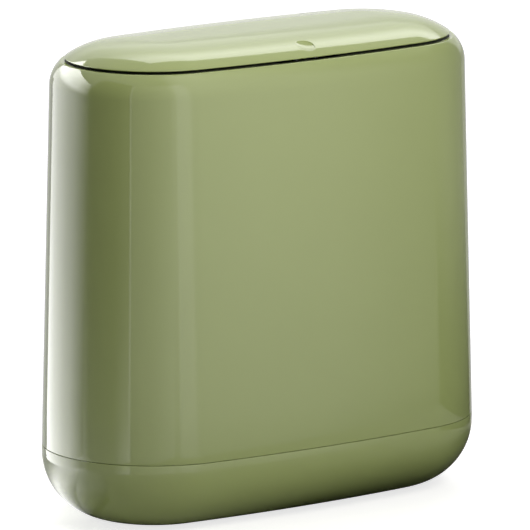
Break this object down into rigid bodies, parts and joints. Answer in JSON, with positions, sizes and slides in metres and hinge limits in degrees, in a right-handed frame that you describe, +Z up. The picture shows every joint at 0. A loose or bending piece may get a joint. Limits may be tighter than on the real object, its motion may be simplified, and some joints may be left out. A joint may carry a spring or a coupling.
{
  "type": "slim press-lid waste bin",
  "caption": "Slim free-standing waste bin, oval in plan, with a rounded base bowl, leaning walls and a domed lid that is pressed at a front dimple to spring open.",
  "frame": {"origin": "on the floor under the middle of the bin's outline", "axes": "+X along the long side, the front with the press dimple faces -Y, +Z up"},
  "size_m": [0.31, 0.152, 0.3092],
  "materials": {
    "green_gloss": "high gloss, sage green",
    "frame_plastic": "fine matte, dark olive grey",
    "liner_plastic": "fine matte, sage green",
    "acetal": "smooth natural white",
    "soft_rubber": "soft matte",
    "steel": "zinc plated"
  },
  "bodies": {
    "bin": {"body_shell": "green_gloss", "base_bowl": "green_gloss", "feet": "soft_rubber", "collar": "frame_plastic", "bag_ring": "frame_plastic", "latch_housing": "frame_plastic", "damper_barrel": "frame_plastic", "collar_screws": "steel", "latch_screws": "steel", "hinge_pins": "steel", "spring_left": "steel", "spring_right": "steel", "latch_spring": "steel", "latch_wire": "steel"},
    "lid": {"lid_cover": "green_gloss", "lid_liner": "liner_plastic", "lid_screws": "steel", "lid_seal": "soft_rubber", "striker": "acetal", "striker_screws": "steel", "damper_rotor": "acetal"},
    "latch": {"latch_plunger": "acetal", "latch_claws": "acetal"}
  },
  "joints": [
    {"name": "lid_hinge", "type": "hinge", "parent": "bin", "child": "lid", "pos_m": [0, 0.061, 0.2918], "axis": [-1, 0, 0], "range_deg": [-0.6, 80], "deforming": ["spring_left", "spring_right"]},
    {"name": "latch_slide", "type": "slide", "parent": "bin", "child": "latch", "axis": [0, 0, 1], "range_m": [-0.0012, 0.006], "stiffness_N_per_m": 120, "deforming": ["latch_spring", "latch_wire", "latch_claws"]}
  ]
}
